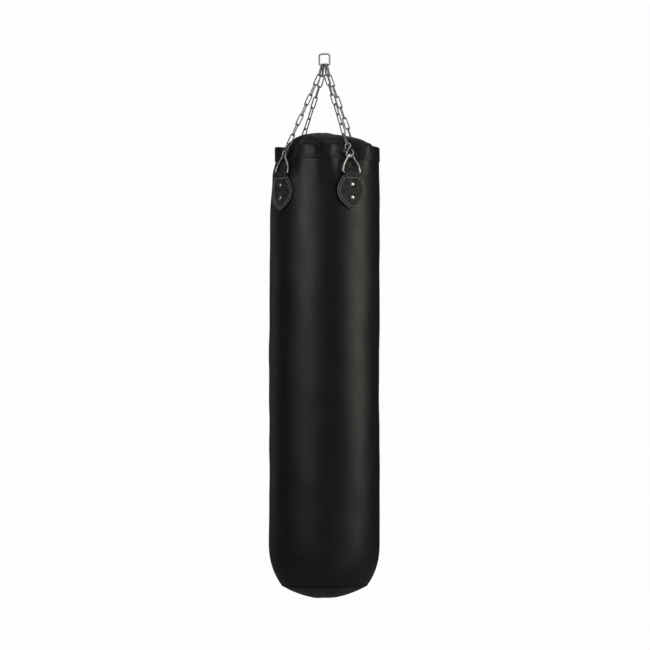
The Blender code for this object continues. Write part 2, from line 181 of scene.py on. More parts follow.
# A rivet's profile as (radius, height over the strap), from its shank to the dimple in its head.
RIVET_PROFILE = (
    (0.0004, -0.0042), (0.0019, -0.0042), (0.0020, -0.0002), (0.0047, -0.0002), (0.0052, 0.0002),
    (0.0053, 0.0006), (0.0050, 0.0012), (0.0043, 0.0018), (0.0034, 0.00225), (0.0024, 0.0025),
    (0.0015, 0.0025), (0.0008, 0.00235), (0.0003, 0.0022),
)

# Thread, as radius and stitch length: grey on the straps, black on the hem and the back.
THREAD = 0.0008
STITCH_PITCH = 0.0043
BLACK_THREAD = 0.00038
HEM_PITCH = 0.0052
LAP_PITCH = 0.0055
STITCH_SHARE = 0.80

# Camera and light, as angles round the bag from the camera's own direction, to the right.
CAMERA_AZIMUTH = 14
CAMERA_DISTANCE = 7.2
CAMERA_Z = -0.835
CAMERA_AIM = (0.0016, -0.739)
CAMERA_LENS = 146
ROOM_IN_FRONT = 0.085
ROOM_BEHIND = 0.03
ROOM_COLOUR = (0.96, 0.99, 1.0, 1)
BACKDROP = (0.985, 0.985, 0.985, 1)
FLOOR_HALF = 9.0
FLOOR_BELOW = 0.35
COOL, WARM, PLAIN = (0.93, 1.0, 0.97), (1.0, 0.99, 0.90), (1.0, 1.0, 1.0)
# Lights: name, angle, distance, height, (width, height), radiance, colour, height aimed at.
LIGHTS = (
    ("left_softbox", -38, 2.6, -0.02, (0.9, 1.3), 4.8, COOL, -0.45),
    ("right_softbox", 72, 2.6, -0.30, (1.0, 1.7), 4.2, WARM, -0.70),
    ("left_edge", -132, 3.0, -0.55, (0.35, 2.0), 0.9, COOL, -0.80),
    ("rear_softbox", 172, 2.8, -0.30, (0.6, 1.6), 1.6, PLAIN, -0.60),
    ("low_card", 40, 1.0, -1.75, (0.8, 0.6), 0.35, PLAIN, -1.45),
    ("top_light", 10, 1.2, 1.9, (1.6, 1.6), 1.0, PLAIN, -0.40),
)


# Meshes


def add_piece(name, mesh, body, material, stands_for=()):
    obj = bpy.data.objects.new(name, mesh)
    bpy.context.scene.collection.objects.link(obj)
    mesh.materials.append(material)
    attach(obj, body)
    if stands_for:
        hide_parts(*stands_for)
    return obj


def mesh_from(name, points, faces, smooth=True):
    """A mesh from an N x 3 array and lists of face rings."""
    mesh = bpy.data.meshes.new(name)
    mesh.from_pydata(np.asarray(points, float).tolist(), [], faces)
    mesh.validate()
    if smooth:
        mesh.shade_smooth()
    mesh.update()
    return mesh


def ring_faces(rows, columns, closed_rows=False, caps=None, start=0):
    """Faces of rows of closed rings. The caps are None, "flat" for one polygon, or "sheet" for a strip
    between the two halves of each end ring."""
    index = np.arange(rows * columns).reshape(rows, columns) + start
    below = np.roll(index, -1, axis=0) if closed_rows else index[1:]
    above = index if closed_rows else index[:-1]
    quads = np.stack([above, np.roll(above, -1, axis=1), np.roll(below, -1, axis=1), below], axis=-1)
    faces = quads.reshape(-1, 4).tolist()
    if caps == "flat":
        faces += [index[0][::-1].tolist(), index[-1].tolist()]
    if caps == "sheet":
        half = columns // 2
        for ring, turned in ((index[0], True), (index[-1], False)):
            for i in range(half - 1):
                quad = [ring[i], ring[i + 1], ring[columns - 2 - i], ring[columns - 1 - i]]
                faces.append([int(v) for v in (quad[::-1] if turned else quad)])
    return faces


def outward(mesh):
    """Turns every face outwards."""
    bm = bmesh.new()
    bm.from_mesh(mesh)
    bmesh.ops.remove_doubles(bm, verts=bm.verts, dist=2e-7)
    bmesh.ops.recalc_face_normals(bm, faces=bm.faces)
    bm.to_mesh(mesh)
    bm.free()
    mesh.shade_smooth()
    return mesh


def grid_piece(name, points, closed_rows=False, caps=None):
    """A mesh from a rows x columns x 3 array of closed rings."""
    rows, columns = points.shape[:2]
    return outward(mesh_from(name, points.reshape(-1, 3), ring_faces(rows, columns, closed_rows, caps)))


def unit(vectors):
    return vectors / np.linalg.norm(vectors, axis=-1, keepdims=True)


def lumps(azimuth, z, seed, turns, wavelength, count=14):
    """Smooth noise of about unit size that closes round the bag."""
    draw = np.random.default_rng(seed)
    total = np.zeros(np.broadcast(azimuth, z).shape)
    for _ in range(count):
        n = draw.integers(-turns, turns + 1)
        k = draw.uniform(-1, 1) * 2 * math.pi / wavelength
        total += np.cos(n * azimuth + k * z + draw.uniform(0, 2 * math.pi))
    return total / math.sqrt(count / 2)


def full_turn(count):
    """Evenly spaced angles of a full turn, without the last one."""
    return np.linspace(0, 2 * math.pi, count, endpoint=False)


def bell(distance, width):
    return np.exp(-((distance / width) ** 2))


def polar(azimuth, radius, z):
    azimuth, radius, z = np.broadcast_arrays(azimuth, radius, z)
    return np.stack([radius * np.cos(azimuth), radius * np.sin(azimuth), z], axis=-1)


def turned_about_z(points, azimuth):
    c, s = math.cos(azimuth), math.sin(azimuth)
    return points @ np.array([[c, s, 0], [-s, c, 0], [0, 0, 1]])


def smooth_step(value):
    value = np.clip(value, 0, 1)
    return value * value * (3 - 2 * value)


def catmull(points, per_span=12):
    """A smooth open curve through the points."""
    p = np.asarray(points, float)
    p = np.vstack([2 * p[0] - p[1], p, 2 * p[-1] - p[-2]])
    t = np.linspace(0, 1, per_span, endpoint=False)[:, None]
    spans = []
    for a, b, c, d in zip(p[:-3], p[1:-2], p[2:-1], p[3:]):
        square, cube = 2 * a - 5 * b + 4 * c - d, 3 * b - a - 3 * c + d
        spans.append(0.5 * (2 * b + (c - a) * t + square * t**2 + cube * t**3))
    return np.vstack(spans + [p[-2:-1]])


def arc_lengths(path):
    return np.concatenate([[0], np.cumsum(np.linalg.norm(np.diff(path, axis=0), axis=1))])


def values_at(at, lengths, values):
    """Rows of values interpolated at distances along a path."""
    return np.stack([np.interp(at, lengths, column) for column in values.T], axis=1)


def resampled(path, step):
    """The path at even steps of arc length."""
    lengths = arc_lengths(path)
    count = max(int(round(lengths[-1] / step)), 2)
    return values_at(np.linspace(0, lengths[-1], count + 1), lengths, path)


def tube(centres, radii, side, up, sides):
    """Rings of points round a path, in the plane of its side and up directions."""
    turns = full_turn(sides)[None, :, None]
    section = np.cos(turns) * side[:, None] + np.sin(turns) * up[:, None]
    return centres[:, None] + radii[:, None, None] * section


# Materials


class Tree:
    """The node tree of a material or a world."""

    def __init__(self, owner):
        owner.use_nodes = True
        self.nodes, self.links = owner.node_tree.nodes, owner.node_tree.links

    def feed(self, node, inputs):
        """Gives each input a value, or links another node's output to it."""
        for name, value in inputs.items():
            if isinstance(value, bpy.types.NodeSocket):
                self.links.new(value, node.inputs[name])
            else:
                node.inputs[name].default_value = value

    def add(self, kind, output, inputs=None, **settings):
        """Adds a node with these settings and inputs, and returns the named output."""
        node = self.nodes.new("ShaderNode" + kind)
        for name, value in settings.items():
            setattr(node, name, value)
        self.feed(node, inputs or {})
        return node.outputs[output]

    def ramp(self, value, low, high, start=0.3, end=0.7):
        """A colour or number that goes from low to high as the value goes from start to end."""
        if isinstance(low, float):
            ends = {"From Min": start, "From Max": end, "To Min": low, "To Max": high}
            return self.add("MapRange", "Result", {"Value": value, **ends})
        colour = self.add("ValToRGB", "Color", {"Fac": value})
        for element, place, tone in zip(colour.node.color_ramp.elements, (start, end), (low, high)):
            element.position = place
            element.color = (*tone, 1)
        return colour


class Look(Tree):
    """A material's tree, with its shader and the object's own coordinates."""

    def __init__(self, name, colour, roughness, metallic=0.0):
        self.material = bpy.data.materials.new(name)
        super().__init__(self.material)
        self.shader = self.nodes["Principled BSDF"]
        self.feed(self.shader, {"Base Color": (*colour, 1), "Roughness": roughness, "Metallic": metallic})
        self.where = self.add("TexCoord", "Object")

    def noise(self, scale, detail):
        return self.add("TexNoise", "Fac", {"Scale": scale, "Detail": detail, "Vector": self.where})

    def bump(self, height, distance, after=None):
        """Bumps the surface, on top of the bump after."""
        inputs = {"Height": height, "Distance": distance, "Strength": 1.0}
        if after:
            inputs["Normal"] = after
        normal = self.add("Bump", "Normal", inputs)
        self.feed(self.shader, {"Normal": normal})
        return normal


def leather_material(name, dark, light, roughness, cell, grain_depth, speckle=0.0):
    """Leather with rounded grain cells, finer creases, patches of wear, and pale speckles if it is rough."""
    look = Look(name, dark, sum(roughness) / 2)
    cells = look.add("TexVoronoi", "Distance", {"Scale": 1 / cell, "Vector": look.where})
    patches, fine = look.noise(22, 4), look.noise(2.6 / cell, 2)
    colour = look.ramp(cells, light, dark, 0.0, 0.75)
    height = look.ramp(cells, 1.0, 0.0, 0.1, 0.8)
    if speckle:
        flecks = look.noise(1 / speckle, 3)
        share = look.ramp(flecks, 0.0, 1.0, 0.47, 0.57)
        colour = look.add("Mix", "Result", {"Factor": share, "A": (*dark, 1), "B": colour}, data_type="RGBA")
        height = look.add("Math", 0, {0: height, 1: flecks}, operation="ADD")
    look.feed(look.shader, {"Base Color": colour, "Roughness": look.ramp(patches, *roughness)})
    look.bump(height, grain_depth, look.bump(fine, grain_depth * 0.35))
    return look.material


def metal_material(name, dark, light, roughness, bump, metallic):
    """Plated steel wire: cloudy plating, fine scratches and small dents."""
    look = Look(name, light, sum(roughness) / 2, metallic)
    clouds, dents = look.noise(260, 5), look.noise(900, 2)
    colour = look.ramp(clouds, dark, light, 0.35, 0.62)
    look.feed(look.shader, {"Base Color": colour, "Roughness": look.ramp(dents, *roughness)})
    look.bump(clouds, bump)
    return look.material


def cloth_material(name, dark, light, thread):
    """Soft woven cloth with a weave at the thread's size and a faint sheen."""
    look = Look(name, dark, 0.85)
    wave = {"Scale": 1 / (thread * 20) * math.pi, "Distortion": 0.4, "Vector": look.where}
    warp, weft = (look.add("TexWave", "Fac", wave, bands_direction=direction) for direction in "XY")
    weave = look.add("Math", 0, {0: warp, 1: weft}, operation="MULTIPLY")
    fuzz = look.noise(90, 5)
    look.feed(look.shader, {"Base Color": look.ramp(fuzz, dark, light)})
    look.feed(look.shader, {"Sheen Weight": 0.25, "Sheen Roughness": 0.4})
    look.bump(weave, 0.00012, look.bump(fuzz, 0.0006))
    return look.material


def plain_material(name, dark, light, roughness, scale, detail, depth):
    """One noise for the colour and the bump, for thread and filling."""
    look = Look(name, light, roughness)
    fibres = look.noise(scale, detail)
    look.feed(look.shader, {"Base Color": look.ramp(fibres, dark, light)})
    look.bump(fibres, depth)
    return look.material


BAG_LEATHER = leather_material(
    "bag_leather", (0.0050, 0.0051, 0.0052), (0.0066, 0.0067, 0.0067), (0.40, 0.48), 0.0009, 0.00010
)
STRAP_LEATHER = leather_material(
    "strap_leather", (0.006, 0.006, 0.006), (0.15, 0.15, 0.14), (0.44, 0.58), 0.0022, 0.0008, speckle=0.0052
)
# Leather of the hem's top bead, lighter than the bag's leather: a painted highlight where the rim's top
# catches the top light.
PAINTED_HIGHLIGHT_EDGE = leather_material(
    "hem_edge_painted_highlight", (0.020, 0.020, 0.020), (0.045, 0.045, 0.044), (0.32, 0.42), 0.0008, 0.00008
)
CLOTH = cloth_material("closing_cloth", (0.0032, 0.0030, 0.0042), (0.0070, 0.0064, 0.0082), 0.0006)
THREAD_GREY = plain_material("grey_thread", (0.30, 0.30, 0.29), (0.62, 0.62, 0.59), 0.65, 2200, 2, 0.0001)
THREAD_BLACK = plain_material("black_thread", (0.018,) * 3, (0.050,) * 3, 0.65, 2200, 2, 0.0001)
FILLING = plain_material("textile_filling", (0.16, 0.17, 0.20), (0.52, 0.47, 0.40), 0.95, 60, 6, 0.003)
ZINC = metal_material("zinc_wire", (0.30, 0.305, 0.31), (0.56, 0.56, 0.55), (0.30, 0.44), 0.00003, 0.80)
NICKEL = metal_material("nickel_wire", (0.66, 0.66, 0.65), (0.86, 0.86, 0.84), (0.20, 0.32), 0.00002, 0.78)
RIVET_METAL = metal_material(
    "rivet_nickel", (0.76, 0.76, 0.74), (0.93, 0.93, 0.91), (0.18, 0.26), 0.00002, 0.85
)


# Wires: rings, links, hooks


def arc(centre, radius, start, end, count):
    angles = np.radians(np.linspace(start, end, count))
    return np.stack([centre[0] + radius * np.cos(angles), centre[1] + radius * np.sin(angles)], axis=1)


def rounded_corners(half_x, half_z, corner):
    """The corner arcs of a rounded rectangle, anticlockwise from the upper right."""
    signs = ((1, 1), (-1, 1), (-1, -1), (1, -1))
    centres = [(x * (half_x - corner), z * (half_z - corner)) for x, z in signs]
    return [arc(centre, corner, 90 * i, 90 * i + 90, 9) for i, centre in enumerate(centres)]


def wire_mesh(name, path, radius, place, closed=True, swell=None):
    """Round wire along a path in the local XZ plane. place is (origin, x axis, z axis) in the row frame, and
    swell is (path index, share, length) of a weld bead."""
    flat = np.stack([path[:, 0], np.zeros(len(path)), path[:, 1]], axis=1)
    if closed:
        tangents = unit(np.roll(flat, -1, axis=0) - np.roll(flat, 1, axis=0))
    else:
        tangents = unit(np.gradient(flat, axis=0))
    up = np.array([[0.0, 1.0, 0.0]])
    radii = np.full(len(flat), radius)
    if swell:
        index, share, length = swell
        radii = radii * (1 + share * bell(np.linalg.norm(flat - flat[index], axis=1), length))
    if not closed:
        ends = np.array([0.25, 0.72, 0.93, 1.0])
        radii[: len(ends)] *= ends
        radii[-len(ends) :] *= ends[::-1]
    rings = tube(flat, radii, np.cross(up, tangents), up, WIRE_SIDES)
    origin, x_axis, z_axis = (np.array(v, float) for v in place)
    z_axis = unit(z_axis)
    x_axis = unit(x_axis - (x_axis @ z_axis) * z_axis)
    rows = np.stack([x_axis, np.cross(z_axis, x_axis), z_axis])
    return grid_piece(name, rings @ rows + origin, closed, None if closed else "flat")


def link_path():
    """A long link with slightly squared ends."""
    half_width, half_length = LINK_WIDTH / 2, LINK_LENGTH / 2
    corner = half_width * 0.88
    arcs = rounded_corners(half_width, half_length, corner)
    middle = np.linspace(-half_length + corner, half_length - corner, 10)[1:-1]
    right = np.stack([np.full(8, half_width), middle], axis=1)
    left = right[::-1] * (-1, 1)
    return np.vstack([*arcs[:2], left, *arcs[2:], right])


def vertex_points(mesh):
    points = np.empty(len(mesh.vertices) * 3, np.float32)
    mesh.vertices.foreach_get("co", points)
    return points.reshape(-1, 3).astype(float)


def width_direction(node, origin, axis):
    """The direction, square to the axis, in which the node is widest."""
    away = vertex_points(frame["nodes"][node].data) - origin
    away -= np.outer(away @ axis, axis)
    return np.linalg.eigh(away.T @ away)[1][:, -1]


def make_links():
    path = link_path()
    for corner in AZIMUTHS:
        for i in range(1, LINKS_PER_CHAIN + 1):
            node = f"chain_{corner}_link_{i}"
            origin, axis = np.array(JOINTS[node]["pos_m"]), np.array(JOINTS[node]["axis"])
            place = (origin, width_direction(node, origin, axis), axis)
            mesh = wire_mesh(node, path, LINK_WIRE, place, swell=(len(path) - 4, 0.10, 0.0022))
            add_piece(f"link_wire_{corner}_{i}", mesh, node, ZINC, [node])


def make_hooks():
    lower = (0.0, HOOK_LOWER_R)
    upper = (0.0, HOOK_LENGTH - HOOK_UPPER_R)
    tangent = math.degrees(math.acos((HOOK_LOWER_R + HOOK_UPPER_R) / (upper[1] - lower[1])))
    bends = (arc(upper, HOOK_UPPER_R, 228, tangent - 90, 40), arc(lower, HOOK_LOWER_R, tangent + 90, 418, 48))
    path = resampled(np.vstack(bends), 0.0009)
    for corner, azimuth in AZIMUTHS.items():
        node = "s_hook_" + corner
        line = np.array(JOINTS[node]["axis"])
        across = np.array([-math.sin(azimuth), math.cos(azimuth), 0.0])
        across = unit(across - (across @ line) * line)
        width = math.cos(HOOK_ROLL) * across + math.sin(HOOK_ROLL) * np.cross(line, across)
        mesh = wire_mesh(node, path, HOOK_WIRE, (JOINTS[node]["pos_m"], width, line), closed=False)
        add_piece("s_hook_wire_" + corner, mesh, node, NICKEL, [node])


def d_ring_path():
    half = D_WIDTH / 2
    top = arc((0.0, D_HEIGHT - D_TOP_R), D_TOP_R, 15, 90, 10)
    corner = arc((half - D_CORNER, D_CORNER), D_CORNER, -90, 5, 9)
    leg = catmull([corner[-1], (half * 0.945, D_HEIGHT * 0.26), (half * 0.77, D_HEIGHT * 0.50), top[0]], 7)
    right = np.vstack([corner, leg[1:-1], top])
    left = right[::-1][1:] * (-1, 1)
    base = np.stack([np.linspace(-half + D_CORNER, half - D_CORNER, 14)[1:-1], np.zeros(12)], axis=1)
    return np.vstack([right, left, base])


def make_d_rings():
    path = d_ring_path()
    for corner in AZIMUTHS:
        node = "d_ring_" + corner
        origin, axis = np.array(JOINTS[node]["pos_m"]), unit(np.array(JOINTS[node]["axis"]))
        up = vertex_points(frame["nodes"][node].data).mean(axis=0) - origin
        mesh = wire_mesh(node, path, D_WIRE, (origin, axis, up - (up @ axis) * axis))
        add_piece("d_ring_wire_" + corner, mesh, node, NICKEL, [node])


def make_hanging_ring():
    low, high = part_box("hanging_ring")
    half_x, half_z = (high.x - low.x) / 2 - RING_WIRE, (high.z - low.z) / 2 - RING_WIRE
    middle_z = (low.z + high.z) / 2
    arcs = rounded_corners(half_x, half_z, RING_CORNER)
    path = resampled(np.vstack([*arcs, arcs[0][:1]]), 0.0012)[:-1]
    weld = int(np.argmin(np.abs(path[:, 1]) - path[:, 0]))
    place = ((0, 0, middle_z), (1, 0, 0), (0, 0, 1))
    mesh = wire_mesh("ring", path, RING_WIRE, place, swell=(weld, 0.1, 0.003))
    add_piece("ring_wire", mesh, "hanger", ZINC, ["hanging_ring"])


# The bag's surface


def turn_between(azimuth, other):
    return np.abs((azimuth - other + math.pi) % (2 * math.pi) - math.pi)


def from_strap(azimuth):
    """The angle to the nearest strap."""
    return np.min([turn_between(azimuth, strap) for strap in AZIMUTHS.values()], axis=0)


def pinch(turn):
    """1 at a strap, falling to 0 at PINCH_REACH from it."""
    return ((1 + np.cos(math.pi * np.minimum(turn / PINCH_REACH, 1))) / 2) ** PINCH_FOCUS


def slack(azimuth, z):
    """How far the slack side of the rim has fallen in."""
    height = sum(part * smooth_step((z - start) / length) for start, length, part in SLACK_STEPS)
    return SLACK_DEPTH * height * np.exp(-0.5 * (turn_between(azimuth, SLACK_AZIMUTH) / SLACK_SPREAD) ** 2)


def pinched_radius(turn, z):
    """The leather's outer radius at an angle from a strap: the CAD shape, without wrinkles."""
    radii = (BODY_RADIUS, BODY_RADIUS, UPPER_RADIUS, RIM_RADIUS)
    plain = np.interp(z, (CURVE_Z, BODY_Z, UPPER_Z, RIM_Z), radii)
    below = np.clip((CURVE_Z - z) / (CURVE_Z - SEAM_Z), 0, 1) ** SEAM_POWER
    share = np.clip((z - PINCH_START_Z) / (PINCH_FULL_Z - PINCH_START_Z), 0, 1) ** PINCH_POWER
    return plain - (BODY_RADIUS - SEAM_RADIUS) * below - PINCH_DEPTH * share * pinch(turn)


def bag_radius(azimuth, z):
    side = np.exp(-0.5 * (turn_between(azimuth, LOBE_AZIMUTH) / LOBE_SPREAD) ** 2)
    height = np.exp(-0.5 * ((z - LOBE_Z) / LOBE_HEIGHT) ** 2)
    return pinched_radius(from_strap(azimuth), z) - slack(azimuth, z) + LOBE * side * height


def gathers(azimuth):
    """Uneven folds round the bottom seam, from -1 to 1."""
    first = np.cos(47 * azimuth + 1.8 * np.sin(3 * azimuth) + 0.9 * np.sin(7 * azimuth))
    second = np.cos(71 * azimuth + 2.2 * np.sin(2 * azimuth + 1))
    return 0.62 * first + 0.38 * second


def skin_relief(azimuth, z):
    """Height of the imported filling's lumps, the pull at the straps and the bottom's gathers."""
    relief = LUMPS * lumps(azimuth, z, 3, 3, 0.45) + FINE_LUMPS * lumps(azimuth, z, 5, 9, 0.12)
    relief += 0.0007 * smooth_step((-0.430 - z) / 0.050)
    near_seam = np.clip((z - SEAM_Z) / GATHER_REACH, 0, 1)
    relief = relief * smooth_step(near_seam * 1.5)
    relief += GATHER_DEPTH * gathers(azimuth) * (1 - near_seam) ** 2
    near_top = smooth_step((z - UPPER_Z) / 0.100)
    relief += TOP_CREASES * near_top * lumps(azimuth, z * 0.4, 8, 26, 0.12, 20)
    return relief


def rim_drop(azimuth, z):
    """How far the rim is pulled down at the straps."""
    return RIM_DROP * pinch(from_strap(azimuth)) ** 2 * smooth_step((z - BAND_LOW_Z) / (RIM_Z - BAND_LOW_Z))


def make_skin():
    """The tube of leather: outer face from the rim to the seam, then the inner face back up."""
    azimuth = full_turn(COLUMNS)[None]
    top_z = RIM_Z - 0.0016
    upper = np.linspace(top_z, UPPER_Z, 40, endpoint=False)
    middle = np.linspace(UPPER_Z, BEND_Z, 78, endpoint=False)
    rows = np.concatenate([upper, middle, np.linspace(BEND_Z, SEAM_Z + 0.0012, 46)])[:, None]
    outer = bag_radius(azimuth, rows) + skin_relief(azimuth, rows)
    parts = [(outer, rows - rim_drop(azimuth, rows))]
    for inwards, up in ((0.0012, -0.0003), (0.0030, -0.0008), (0.0060, 0.0002)):
        parts.append((outer[-1:] - inwards, rows[-1:] + up))
    curved = np.linspace(SEAM_Z + 0.004, BEND_Z, 10)
    rows = np.concatenate([curved, np.linspace(BEND_Z + 0.040, top_z, 18)])[:, None]
    parts.append((bag_radius(azimuth, rows) - SKIN_LEATHER - 0.0004, rows - rim_drop(azimuth, rows)))
    points = np.concatenate([polar(azimuth, radius, z) for radius, z in parts])
    mesh = grid_piece("bag_skin", points, closed_rows=True)
    add_piece("bag_skin", mesh, "bag", BAG_LEATHER, ["bag_shell"])


def band_surface(azimuth, z):
    """Radius of the hem band's outer face, with its slack waves."""
    waves = LUMPS * lumps(azimuth, z, 21, 12, 0.2) + FINE_LUMPS * lumps(azimuth, z, 22, 40, 0.05, 20)
    low = 1 - np.clip((z - BAND_LOW_Z) / 0.012, 0, 1)
    pucker = 0.00035 * low * np.cos(100 * azimuth + 2 * np.sin(5 * azimuth))
    return bag_radius(azimuth, z) + BAND_OUT + waves + pucker


def make_band():
    """The hem: an outer face, a rounded edge over the rim, and a short flap inside."""
    azimuth = full_turn(COLUMNS)[None]
    roll_z = RIM_Z - BAND_ROLL
    face_z = np.linspace(BAND_LOW_Z + 0.0006, roll_z, 26)[:, None]
    low_edge = 0.0005 * lumps(azimuth, 0 * azimuth, 23, 14, 1.0)
    sag = low_edge * (1 - np.clip((face_z - BAND_LOW_Z) / 0.015, 0, 1))
    outer = band_surface(azimuth, face_z)
    for row in BAND_ROWS:
        outer = outer - 0.0005 * bell(face_z - row, 0.0009)
    base = bag_radius(azimuth, np.array([[roll_z]]))
    waves = outer[-1:] - base - BAND_OUT
    parts = []
    for up, out in ((-0.0001, 0.0012), (0.0001, 0.0023)):
        parts.append((bag_radius(azimuth, BAND_LOW_Z + 0 * azimuth) + out, BAND_LOW_Z + up + low_edge))
    parts.append((outer, face_z + sag))
    roll = np.radians([20, 45, 70, 90, 110, 135, 160])[:, None]
    middle, reach = (BAND_OUT + FLAP_IN) / 2, (BAND_OUT - FLAP_IN) / 2
    parts.append((base + waves + middle + reach * np.cos(roll), roll_z + 0.0036 * np.sin(roll)))
    flap_z = np.linspace(RIM_Z - 0.004, RIM_Z - FLAP_DEPTH, 4)[:, None]
    parts.append((bag_radius(azimuth, flap_z) + FLAP_IN + waves, flap_z))
    parts.append((bag_radius(azimuth, flap_z[::-1]) + FLAP_OUT + waves, flap_z[::-1]))
    inside = [(RIM_Z - 0.0006, FLAP_OUT + 0.0006), (RIM_Z - 0.0006, 0.0)]
    inside += [(z, BAND_IN) for z in (RIM_Z - 0.006, RIM_Z - 0.020, BAND_LOW_Z)]
    for z, out in inside:
        parts.append((bag_radius(azimuth, z) + out, z))
    points = np.concatenate([polar(azimuth, radius, z - rim_drop(azimuth, z)) for radius, z in parts])
    mesh = grid_piece("rim_band", points, closed_rows=True)
    add_piece("rim_band", mesh, "bag", BAG_LEATHER, ["top_band"])
    make_band_edge(azimuth, waves)
    turn = np.linspace(0, 2 * math.pi, 1600)
    normals = polar(turn, 1.0, 0.0)
    rows = []
    for z in BAND_ROWS:
        radius = band_surface(turn, np.full_like(turn, z)) - 0.0002
        rows.append((polar(turn, radius, z - rim_drop(turn, z)), normals))
    add_piece("band_thread", stitches("band_thread", rows, HEM_PITCH, BLACK_THREAD), "bag", THREAD_BLACK)


def make_band_edge(azimuth, waves):
    """The hem's folded edge: a thin bead that runs along the top of the band. Its leather is lighter than the
    bag's, a painted highlight along the rim's top.
    """
    base = bag_radius(azimuth, np.array([[RIM_Z]])) + waves + EDGE_OUT
    turn = full_turn(12)[:, None]
    z = RIM_Z + EDGE_UP + EDGE_BEAD * np.sin(turn) - rim_drop(azimuth, RIM_Z)
    rings = polar(azimuth, base + EDGE_BEAD * np.cos(turn), z)
    add_piece("band_edge", grid_piece("band_edge", rings, closed_rows=True), "bag", PAINTED_HIGHLIGHT_EDGE)


def stitches(name, rows, pitch, radius):
    """Separate stitches along (path, normals) rows: short bars of thread whose ends dip into the leather."""
    sides, along = 7, np.linspace(-1, 1, 7)
    points, faces = [], []
    for path, normals in rows:
        lengths = arc_lengths(path)
        count = max(int(round(lengths[-1] / pitch)), 1)
        step = lengths[-1] / count
        for i in range(count):
            at = (i + 0.5) * step + along * step * STITCH_SHARE / 2
            centre, normal = values_at(at, lengths, path), unit(values_at(at, lengths, normals))
            side = np.cross(unit(np.gradient(centre, axis=0)), normal)
            size = radius * np.sqrt(np.clip(1.08 - along**4, 0.05, 1))
            centre = centre + normal * (radius * (0.55 - 1.1 * along**4))[:, None]
            faces += ring_faces(len(along), sides, caps="flat", start=len(points) * len(along) * sides)
            points.append(tube(centre, size, side, normal, sides).reshape(-1, 3))
    return outward(mesh_from(name, np.vstack(points), faces))


def make_back_seam():
    """The lap that closes the tube at the back, with two rows of black thread."""
    z = np.linspace(BAND_LOW_Z - 0.001, SEAM_Z + 0.004, 190)[:, None]
    x = np.linspace(-LAP_HALF, LAP_HALF, 13)[None]
    azimuth = math.pi / 2 + x / BODY_RADIUS
    surface = bag_radius(azimuth, z) + skin_relief(azimuth, z)
    edge = np.clip((LAP_HALF - np.abs(x)) / 0.0016, 0, 1)
    lap = LAP_LIFT * np.sqrt(1 - (1 - edge) ** 2) - 0.0003 * bell(np.abs(x) - LAP_ROW, 0.0012)
    front, back = polar(azimuth, surface + lap, z), polar(azimuth, surface - 0.0006, z)
    mesh = grid_piece("back_seam", np.concatenate([front, back[:, ::-1]], axis=1), caps="sheet")
    add_piece("back_seam", mesh, "bag", BAG_LEATHER)
    rows = []
    line_z = z[2:-2, 0]
    for place in (-LAP_ROW, LAP_ROW):
        turn = math.pi / 2 + place / BODY_RADIUS + 0 * line_z
        radius = bag_radius(turn, line_z) + skin_relief(turn, line_z) + LAP_LIFT - 0.0003
        rows.append((polar(turn, radius, line_z), polar(turn, 1.0, 0.0)))
    mesh = stitches("back_seam_thread", rows, LAP_PITCH, BLACK_THREAD)
    add_piece("back_seam_thread", mesh, "bag", THREAD_BLACK)


def make_base():
    """The round bottom panel: bulged, gathered at its rim, with the seam's edge tucked up."""
    azimuth = full_turn(COLUMNS)[None]
    top = SEAM_Z - 0.0018
    depth = top - BOTTOM_Z
    rim, rest = np.linspace(0.985, 0.80, 14), np.linspace(0.77, 0.04, 22)
    share = np.concatenate([[1.0, 1.0, 0.995], rim, rest])[:, None]
    z = BOTTOM_Z + depth * share**BOTTOM_POWER
    z[0], z[1] = top + 0.0040, top + 0.0006
    radius = SEAM_RADIUS * share
    radius[0] -= 0.0050
    radius[1] -= 0.0006
    near = np.clip((share - 0.72) / 0.28, 0, 1) ** 2
    lumpy = 0.0005 * lumps(azimuth, share * 0.2, 31, 3, 0.15)
    lumpy = lumpy * smooth_step((1 - share) * 4) * smooth_step(share * 4)
    fold = 0.0011 * near * np.cos(0.5 + 53 * azimuth + 1.6 * np.sin(3 * azimuth)) * (share < 0.999)
    outer = polar(azimuth, radius, z + lumpy + fold)
    share = np.linspace(0.04, 0.94, 12)[:, None]
    inner = polar(azimuth, SEAM_RADIUS * share, BOTTOM_Z + depth * share**BOTTOM_POWER + SKIN_LEATHER)
    mesh = disc_solid("base_panel", outer, inner)
    add_piece("base_panel", mesh, "bag", BAG_LEATHER, ["bottom_panel"])


def disc_solid(name, outer, inner):
    """A closed disc: outer rings from the rim to the centre, then inner rings from the centre to the rim."""
    rings = np.concatenate([outer, inner])
    rows, columns = rings.shape[:2]
    index = np.arange(rows * columns).reshape(rows, columns)
    faces = ring_faces(len(outer), columns) + ring_faces(len(inner), columns, start=len(outer) * columns)
    first, last = index[0], index[-1]
    faces += np.stack([last, np.roll(last, -1), np.roll(first, -1), first], axis=-1).tolist()
    points = np.vstack([rings.reshape(-1, 3), outer[-1].mean(axis=0), inner[0].mean(axis=0)])
    for ring, centre in ((index[len(outer) - 1], rows * columns), (index[len(outer)], rows * columns + 1)):
        faces += [[int(a), int(b), centre] for a, b in zip(ring, np.roll(ring, -1))]
    return outward(mesh_from(name, points, faces))


# The closing cloth


def cover_edge(azimuth):
    """Radius and height at which the cloth is sewn to the shell, higher on the right."""
    z = COVER_EDGE_Z + COVER_LIFT * (1 + np.cos(azimuth - COVER_LIFT_AZIMUTH)) / 2
    return bag_radius(azimuth, z) - SKIN_LEATHER - 0.0030, z


